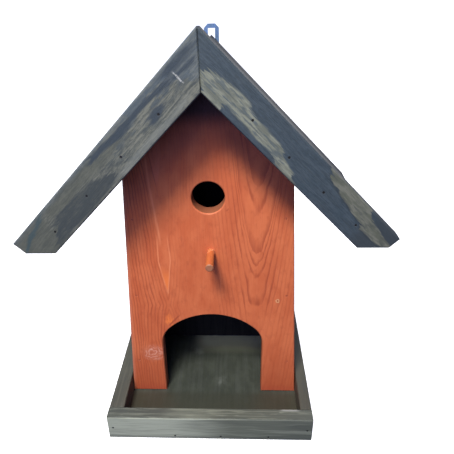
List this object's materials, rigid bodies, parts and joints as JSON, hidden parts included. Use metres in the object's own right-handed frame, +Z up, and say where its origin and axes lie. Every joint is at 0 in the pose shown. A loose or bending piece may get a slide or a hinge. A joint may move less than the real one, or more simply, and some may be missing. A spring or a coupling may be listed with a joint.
{
  "type": "birdhouse",
  "caption": "Gabled wooden nest box with a round entrance, perch and arched doorway, standing on a rimmed feeding tray, with a hanger plate at the ridge.",
  "frame": {"origin": "centre of the tray's underside, where the birdhouse rests", "axes": "+Z up, +Y from the front panel towards the back, +X to the right seen from the front"},
  "size_m": [0.3428, 0.2233, 0.398],
  "materials": {
    "terracotta_stain": "stained softwood, satin",
    "anthracite_stain": "dark stained softwood, satin",
    "slate_stain": "weathered blue-grey stain, matt",
    "tray_stain": "weathered grey-green stain, matt",
    "bare_wood": "untreated softwood",
    "zinc_plate": "zinc plated, semi-bright",
    "screw_steel": "zinc plated",
    "nail_steel": "dull, stained over"
  },
  "bodies": {
    "root": {"front_panel": "terracotta_stain", "back_panel": "anthracite_stain", "left_side_panel": "anthracite_stain", "right_side_panel": "anthracite_stain", "nest_floor": "bare_wood", "tray_floor": "tray_stain", "tray_front_rim": "tray_stain", "tray_back_rim": "tray_stain", "tray_left_rim": "tray_stain", "tray_right_rim": "tray_stain", "left_roof_panel": "anthracite_stain", "right_roof_panel": "anthracite_stain", "left_bargeboard": "slate_stain", "right_bargeboard": "slate_stain", "perch": "terracotta_stain", "hanger_plate": "zinc_plate", "hanger_screws": "screw_steel", "bargeboard_nails": "nail_steel", "front_panel_nails": "terracotta_stain", "back_panel_screws": "screw_steel", "roof_nails": "nail_steel", "ridge_nails": "nail_steel", "rim_corner_nails": "nail_steel", "floor_nails": "nail_steel", "house_screws": "screw_steel", "nest_floor_nails": "nail_steel"}
  },
  "joints": []
}
